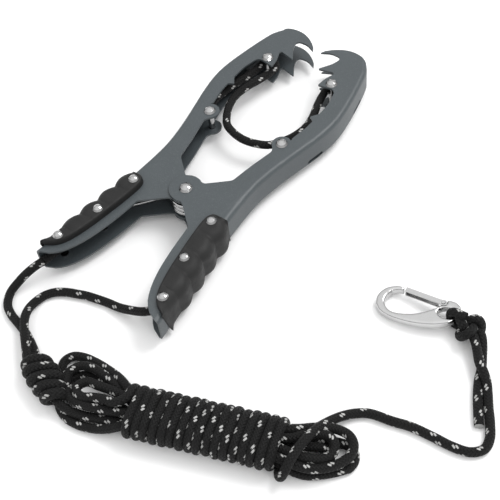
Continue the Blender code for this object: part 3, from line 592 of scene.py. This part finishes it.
def build_rope():
    """The rope in the arms, across the mouth, down both legs, through the knot, and all of the hank and lead."""
    up_over_down = [*CHANNEL_UP]
    for k in range(ROUND_POST_PIECES + 1):
        angle = math.radians(ROUND_POST[0] + ROUND_POST[1] * k / ROUND_POST_PIECES)
        up_over_down.append((UPPER_POST[0] + ROUND_POST_R * math.cos(angle),
                             UPPER_POST[1] + ROUND_POST_R * math.sin(angle)))
    up_over_down += CHANNEL_DOWN
    left = curve_points([(x, y, MID_Z) for x, y in LEFT_START]
                        + [(-x, y, MID_Z) for x, y in up_over_down], ROPE_STEP)
    right = curve_points([(x, y, MID_Z) for x, y in RIGHT_START]
                         + [(x, y, MID_Z) for x, y in up_over_down], ROPE_STEP)
    arc = curve_points([(x, y, MID_Z) for x, y in MOUTH_ARC], ROPE_STEP)
    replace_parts(rope_piece("rope_in_left_arm", left, LEFT_BODY), "rope_left_channel")
    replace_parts(rope_piece("rope_in_right_arm", right, RIGHT_BODY), "rope_right_channel")
    mouth = rope_piece("rope_across_mouth", arc, None, start=path_length(right))
    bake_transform(mouth)
    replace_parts(mouth, "rope_mouth_arc")

    legs = {}
    for side, route, body in (("left", LEFT_LEG, LEFT_BODY), ("right", RIGHT_LEG, None)):
        path = curve_points(route, ROPE_STEP)
        leg = rope_piece(f"rope_{side}_leg_braid", path, body, start=LEG_LAY_FROM)
        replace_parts(leg, f"rope_{side}_leg")
        legs[side] = (leg, path)
    leg, path = legs["right"]
    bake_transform(leg)

    knot = rope_piece("join_knot_wraps", curve_points(join_knot_points(), ROPE_STEP), LEFT_BODY,
                      radius=KNOT_ROPE_R)
    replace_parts(knot, "join_knot")

    hank_route = [hank_point(*p) for p in STRANDS] + [hank_point(*p) for p in wrap_points()]
    hank_route += [hank_point(*p) for p in WRAP_EXIT]
    hank_route += [Vector(p) for p in LEAD]
    path = eased(curve_points(hank_route, ROPE_STEP))
    hank = rope_piece("rope_hank_and_lead", path, LEFT_BODY)
    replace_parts(hank, "rope_hank", "rope_lead")
    return legs, knot, (hank, path)


# where each turn of the join knot has its middle, and half its length
KNOT_ROWS = ((-1.2, -167.4, 7.0), (6.0, -170.2, 9.0), (13.4, -173.2, 9.0), (20.8, -176.4, 7.8),
             (27.8, -179.6, 5.8))
KNOT_HEADING = math.radians(52.0)
KNOT_ROPE_R = 3.7           # two turns bedded into one another
KNOT_STEPS = 14             # points to a turn
KNOT_SQUARE = 2.3           # 2 would make the turns round; more makes them boxier
KNOT_MID_Z, KNOT_RISE = 10.6, 6.6


def join_knot_points():
    """Slanting turns round the two legs, the last one smaller."""
    points = []
    rows = len(KNOT_ROWS) - 1
    for k in range(-2, rows * KNOT_STEPS + 8):
        turn = k / KNOT_STEPS
        row = min(float(rows), max(0.0, turn - 0.25))
        low = min(rows - 1, int(row))
        here = Vector(KNOT_ROWS[low]).lerp(Vector(KNOT_ROWS[low + 1]), row - low)
        angle = 2 * math.pi * turn
        c, z = -math.cos(angle), math.sin(angle)
        stretch = (abs(c) ** KNOT_SQUARE + abs(z) ** KNOT_SQUARE) ** (-1 / KNOT_SQUARE)
        reach = here.z * c * stretch
        points.append((here.x + reach * math.cos(KNOT_HEADING), here.y + reach * math.sin(KNOT_HEADING),
                       KNOT_MID_Z + KNOT_RISE * z * stretch * (0.7 + 0.035 * here.z)))
    return points


OVERHAND_POINTS = 31


def overhand_points(centre, size, rise, heading):
    """An overhand knot: three lobes, each strand passing over one and under the next."""
    points = []
    for k in range(OVERHAND_POINTS):
        t = 2 * math.pi * (k + 0.5) / OVERHAND_POINTS
        x, y = math.sin(t) + 2 * math.sin(2 * t), math.cos(t) - 2 * math.cos(2 * t)
        x, y = x * math.cos(heading) - y * math.sin(heading), x * math.sin(heading) + y * math.cos(heading)
        points.append((centre[0] + size * x, centre[1] + size * y, centre[2] - rise * math.sin(3 * t)))
    return points


HOOK_KNOT_AT = (226.6, 18.4, 10.6)
HOOK_KNOT_SIZE, HOOK_KNOT_RISE = 2.85, 4.3
HOOK_KNOT_HEADING = math.radians(4.0)
KNOT_STEP = 1.0             # millimetres between rings where the rope bends most

# the loop through the hook's eye, in the hook's frame: distance towards the knot, height
HOOK_PLACE = (160.5, 9.0, 3.6)
HOOK_TURN = math.radians(15.4)
HOOK_TILT = math.radians(-6.2)
EYE_LOOP = ((12.0, 7.6), (7.0, 7.2), (3.6, 7.0), (0.8, 4.6), (0.0, 0.0), (0.8, -4.4), (3.6, -6.6),
            (7.0, -6.7), (11.0, -5.4))
EYE_LOOP_START = (53.0, -2.9)
EYE_LOOP_HEADING = math.radians(-16.6)


def eye_loop_points():
    x, y = EYE_LOOP_START
    turned = Matrix.Rotation(HOOK_TURN, 4, "Z") @ Matrix.Rotation(HOOK_TILT, 4, "Y")
    place = Matrix.Translation(HOOK_PLACE) @ turned
    ahead, aside = math.cos(EYE_LOOP_HEADING), math.sin(EYE_LOOP_HEADING)
    return [place @ Vector((x + along * ahead, y + along * aside, up)) for along, up in EYE_LOOP]


legs, join_knot, (hank, hank_path) = build_rope()
hook_turns = overhand_points(HOOK_KNOT_AT, HOOK_KNOT_SIZE, HOOK_KNOT_RISE, HOOK_KNOT_HEADING)
hook_knot = rope_piece("hook_knot_turns", curve_points(hook_turns, KNOT_STEP), LEFT_BODY)
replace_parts(hook_knot, "hook_knot")
eye_loop = rope_piece("rope_through_eye", curve_points(eye_loop_points(), KNOT_STEP), LEFT_BODY)
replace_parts(eye_loop, "rope_eye_loop")
tail_path = curve_points(TAIL, ROPE_STEP)
tail = rope_piece("rope_tail_braid", tail_path, LEFT_BODY, cut_end=True)
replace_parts(tail, "rope_tail")

# ---- grips ----------------------------------------------------------------------------------------------

WEB = ((57.8, -103.0), (55.5, -85.5), (52.7, -67.5), (50.1, -51.8), (47.5, -34.5), (45.6, -16.5), (44.3, 0.0))
GRIP_EDGE = ((49.5, -8.3), (46.0, -8.3), (41.0, -8.5), (36.4, -9.0), (33.0, -10.4), (30.9, -13.6), (30.3, -17.5),
             (30.6, -24.0), (32.2, -37.5), (34.0, -49.0), (35.8, -60.0), (38.1, -71.0), (40.4, -79.5),
             (43.5, -87.0), (47.9, -92.5), (53.0, -95.6), (58.5, -97.4), (61.0, -98.0))
GRIP_ENDS = (-98.0, -8.3)
GRIP_FADE = 3.2             # both ends are rounded over this length
GRIP_HALF = 15.0            # half the grip's height
GRIP_SKIN, RIDGE_RISE = 1.35, 2.9
FIRST_RIDGE, RIDGE_PITCH, RIDGES = -19.0, 17.2, 4
CREASE_DIP = 0.9            # how far the creases sink between the ridges
WORN_FROM, WORN_OVER, WORN_SHARE = -50.0, 48.0, 0.55    # the ridges grow lower towards the handle's end
LEAN_FROM, LEAN_OVER, END_LEAN = -78.0, 20.0, 0.3       # the end is cut back on its lower side
LEAN_BELOW = 6.0
PLATE_HALF = {"left": 9.8, "right": 11.7}               # half the height over the plates that it holds
GRIP_STATIONS, GRIP_END_STATIONS = 118, 8


def across_at(table):
    """A look-up of x by y along the smooth line through the table's points."""
    line = sorted((p.y, p.x) for p in curve_points([(x, y, 0.0) for x, y in table], 0.5))

    def at(y):
        for (y0, x0), (y1, x1) in zip(line, line[1:]):
            if y <= y1:
                return x0 + (x1 - x0) * max(0.0, y - y0) / max(y1 - y0, 1e-9)
        return line[-1][1]
    return at


def grip_ring(y, web, edge, plate):
    """The grip's section at one place along the handle, as (x, height from the middle)."""
    fade = min(1.0, min(GRIP_ENDS[1] - y, y - GRIP_ENDS[0]) / GRIP_FADE)
    fade = math.sqrt(max(0.0, 1.0 - (1.0 - fade) ** 2))
    turns = (FIRST_RIDGE - y) / RIDGE_PITCH
    inside = -0.5 < turns < RIDGES - 0.5
    wave = abs(math.cos(math.pi * turns)) ** 1.15 if inside else 0.0
    dip = CREASE_DIP * (1.0 - wave) ** 3 if inside else 0.0
    worn = 1.0 - WORN_SHARE * max(0.0, (WORN_FROM - y) / WORN_OVER)
    half = plate + 0.05 + (GRIP_HALF - plate) * fade
    side = (GRIP_SKIN + RIDGE_RISE * wave) * worn * fade + 0.05
    reach = max(0.5, web - edge)
    lip = min(1.8, reach * 0.3)
    corner = min(8.5, (reach + side - lip) * 0.85, half - 1.0)
    steel = plate - 0.3
    upper = []
    for k in range(6):
        a = math.pi / 2 * k / 5
        upper.append((-reach + lip * (1 - math.cos(a)), steel + (half - steel) * math.sin(a)))
    for k in range(1, 9):
        t = k / 9
        upper.append((-reach + lip + (reach - lip + side - corner) * t, half - dip * fade * (0.4 + 0.6 * t)))
    for k in range(13):
        a = math.pi / 2 * k / 12
        upper.append((side - corner + corner * math.sin(a),
                      half - dip * fade * math.cos(a) ** 2 - corner + corner * math.cos(a)))
    ring = upper + [(a, -z) for a, z in reversed(upper)]
    bend = min(4.0, reach * 0.8)
    inner = []
    for k in range(5):
        a = math.pi / 2 * k / 4
        inner.append((-0.3 - bend + bend * math.sin(a), -steel + bend - bend * math.cos(a)))
    ring += inner + [(a, -z) for a, z in reversed(inner)]
    return [(web + a, z) for a, z in ring]


def moulded_grip(side):
    """A rubber grip wrapped round the handle: finger ridges outside, creases between them, soft corners."""
    sign = 1 if side == "right" else -1
    web, edge = across_at(WEB), across_at(GRIP_EDGE)
    low, high = GRIP_ENDS
    near_end = [GRIP_FADE * (k / GRIP_END_STATIONS) ** 2 for k in range(GRIP_END_STATIONS)]
    middle = high - low - 2 * GRIP_FADE
    stations = [low + d for d in near_end]
    stations += [low + GRIP_FADE + middle * k / GRIP_STATIONS for k in range(GRIP_STATIONS + 1)]
    stations += [high - d for d in reversed(near_end)]
    bm = bmesh.new()
    rings = []
    for y in stations:
        ring = grip_ring(y, web(y), edge(y), PLATE_HALF[side])
        lean = END_LEAN * min(1.0, max(0.0, (LEAN_FROM - y) / LEAN_OVER)) ** 2
        rings.append([bm.verts.new(world_point(sign * x, y + lean * max(0.0, LEAN_BELOW - z), MID_Z + z))
                      for x, z in ring])
    around = len(rings[0])
    for a, b in zip(rings, rings[1:]):
        for k in range(around):
            j = (k + 1) % around
            bm.faces.new((a[k], a[j], b[j], b[k]))
    bm.faces.new(rings[0])
    bm.faces.new(list(reversed(rings[-1])))
    bmesh.ops.recalc_face_normals(bm, faces=bm.faces)
    mesh = bpy.data.meshes.new(f"{side}_grip_moulded")
    bm.to_mesh(mesh)
    bm.free()
    made = link(f"{side}_grip_moulded", mesh, [RUBBER])
    smooth(made, 50.0)
    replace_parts(made, f"{side}_grip")
    return made


# ---- arms and steel -------------------------------------------------------------------------------------

def settled(item):
    """Its modifiers made part of its mesh."""
    bpy.context.view_layer.update()
    graph = bpy.context.evaluated_depsgraph_get()
    mesh = bpy.data.meshes.new_from_object(item.evaluated_get(graph))
    item.modifiers.clear()
    item.data = mesh
    return item


def forged(node, name, material, grain, passes):
    """A forged copy of a CAD node: one skin over its plates, with all its edges run smooth."""
    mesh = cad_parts[node].data.copy()
    mesh.materials.clear()
    if "custom_normal" in mesh.attributes:
        mesh.attributes.remove(mesh.attributes["custom_normal"])
    made = link(name, mesh, [material])
    skin = made.modifiers.new("skin", "REMESH")
    skin.mode = "VOXEL"
    skin.voxel_size = grain * MM
    ease = made.modifiers.new("ease", "SMOOTH")
    ease.iterations = passes
    ease.factor = 0.5
    settled(made)
    if not made.data.materials:
        made.data.materials.append(material)
    made.data.shade_smooth()
    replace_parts(made, node)
    return made


COIL_R = 11.6
COIL_RISE = 12.9
COIL_TURNS = 3
COIL_PIECES, LEG_PIECES = 144, 8
WIRE_R = 1.45
WIRE_RING = 16              # points round the wire
WIRE_STEP = 1.2
SPRING_LEG = (43.5, -34.0)  # where a leg ends, inside the handle


def spring_wire():
    """The torsion spring: leg from the left web, three turns round the pivot, leg to the right web."""
    reach = math.sqrt(SPRING_LEG[0] ** 2 + SPRING_LEG[1] ** 2 - COIL_R ** 2)
    touch = 2 * math.pi + math.atan2(SPRING_LEG[1], -SPRING_LEG[0]) - math.atan2(reach, COIL_R)
    sweep = math.pi - 2 * touch - 2 * math.pi * COIL_TURNS
    low = MID_Z - COIL_RISE / 2
    coil = []
    for k in range(COIL_PIECES + 1):
        angle = touch + sweep * k / COIL_PIECES
        coil.append((COIL_R * math.cos(angle), COIL_R * math.sin(angle), low + COIL_RISE * k / COIL_PIECES))
    start = (-SPRING_LEG[0], SPRING_LEG[1], low)
    end = (SPRING_LEG[0], SPRING_LEG[1], low + COIL_RISE)
    first = [tuple(Vector(start).lerp(Vector(coil[0]), k / LEG_PIECES)) for k in range(LEG_PIECES)]
    last = [tuple(Vector(coil[-1]).lerp(Vector(end), k / LEG_PIECES)) for k in range(1, LEG_PIECES + 1)]
    path = curve_points(first + coil + last, WIRE_STEP)
    frames = carried_frames(path)
    bm = bmesh.new()
    rings = []
    for point, (u, v) in zip(path, frames):
        rings.append([bm.verts.new(world_point(*(point + (u * math.cos(a) + v * math.sin(a)) * WIRE_R)))
                      for a in (2 * math.pi * k / WIRE_RING for k in range(WIRE_RING))])
    for a, b in zip(rings, rings[1:]):
        for k in range(WIRE_RING):
            j = (k + 1) % WIRE_RING
            bm.faces.new((a[k], a[j], b[j], b[k])).smooth = True
    bm.faces.new(list(reversed(rings[0])))
    bm.faces.new(rings[-1])
    mesh = bpy.data.meshes.new("torsion_spring_wire")
    bm.to_mesh(mesh)
    bm.free()
    made = link("torsion_spring_wire", mesh, [SPRING_STEEL])
    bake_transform(made)
    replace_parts(made, "torsion_spring")


ARM_EDGE, GATE_EDGE = 0.28, 0.2         # how wide their eased edges are
FORGED_GRAIN, FORGED_PASSES = 0.42, 30

for side, body in (("left", LEFT_BODY), ("right", RIGHT_BODY)):
    arm = softened(f"{side}_arm", f"{side}_arm_coated", POWDER, ARM_EDGE)
    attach(arm, body)
    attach(moulded_grip(side), body)
spring_wire()
hook = forged("hook_body", "hook_forged", HOOK_STEEL, FORGED_GRAIN, FORGED_PASSES)
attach(hook, LEFT_BODY)
gate = softened("hook_gate", "hook_gate_bent", HOOK_STEEL, GATE_EDGE)
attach(gate, GATE_BODY)

for name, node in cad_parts.items():
    if node.hide_render:
        continue
    material = RIVET_STEEL
    if name.startswith(("hook", "gate")):
        material = HOOK_STEEL
    elif name.startswith("rope"):
        material = YARN
    node.data.materials.clear()
    node.data.materials.append(material)

# ---- floor, light and camera ----------------------------------------------------------------------------

FLOOR_SIZE = 40.0
SKY = (0.36, 1.35)          # brightness at the horizon and overhead
# name, place, size in metres, power in watts
LAMPS = (("key", (0.5, 0.9, 1.5), 0.8, 17.0), ("right", (1.3, -0.5, 1.0), 0.35, 3.0))


def studio():
    bpy.ops.mesh.primitive_plane_add(size=FLOOR_SIZE, location=(0.0, 0.0, 0.0))
    floor = bpy.context.object
    floor.name = "floor"
    n = Nodes("pale_floor")
    n.set(Base_Color=n.mix(n.noise(3.0), grey(0.93), grey(0.95)), Roughness=0.9)
    floor.data.materials.append(n.material)
    world = bpy.data.worlds.new("soft_studio")
    world.use_nodes = True
    tree = world.node_tree
    coords = tree.nodes.new("ShaderNodeTexCoord")
    parts = tree.nodes.new("ShaderNodeSeparateXYZ")
    height = tree.nodes.new("ShaderNodeMapRange")
    for key, number in (("From Min", 0.0), ("From Max", 1.0), ("To Min", SKY[0]), ("To Max", SKY[1])):
        height.inputs[key].default_value = number
    tree.links.new(coords.outputs["Generated"], parts.inputs[0])
    tree.links.new(parts.outputs["Z"], height.inputs["Value"])
    tree.nodes["Background"].inputs["Color"].default_value = (1.0, 1.0, 1.0, 1.0)
    tree.links.new(height.outputs["Result"], tree.nodes["Background"].inputs["Strength"])
    bpy.context.scene.world = world
    for name, place, size, power in LAMPS:
        lamp = bpy.data.lights.new(name, "AREA")
        lamp.size = size
        lamp.energy = power
        lamp_object = bpy.data.objects.new(name, lamp)
        lamp_object.location = place
        lamp_object.rotation_euler = (-Vector(place)).to_track_quat("-Z", "Y").to_euler()
        bpy.context.scene.collection.objects.link(lamp_object)


def place_camera():
    data = bpy.data.cameras.new("camera")
    data.lens = LENS
    data.sensor_width = 36.0
    data.clip_start = 0.01
    camera = bpy.data.objects.new("camera", data)
    camera.location = world_point(*CAMERA_AT)
    camera.rotation_euler = [math.radians(a) for a in CAMERA_TURN]
    bpy.context.scene.collection.objects.link(camera)
    bpy.context.scene.camera = camera


studio()
place_camera()
bpy.context.scene.view_settings.view_transform = "Standard"
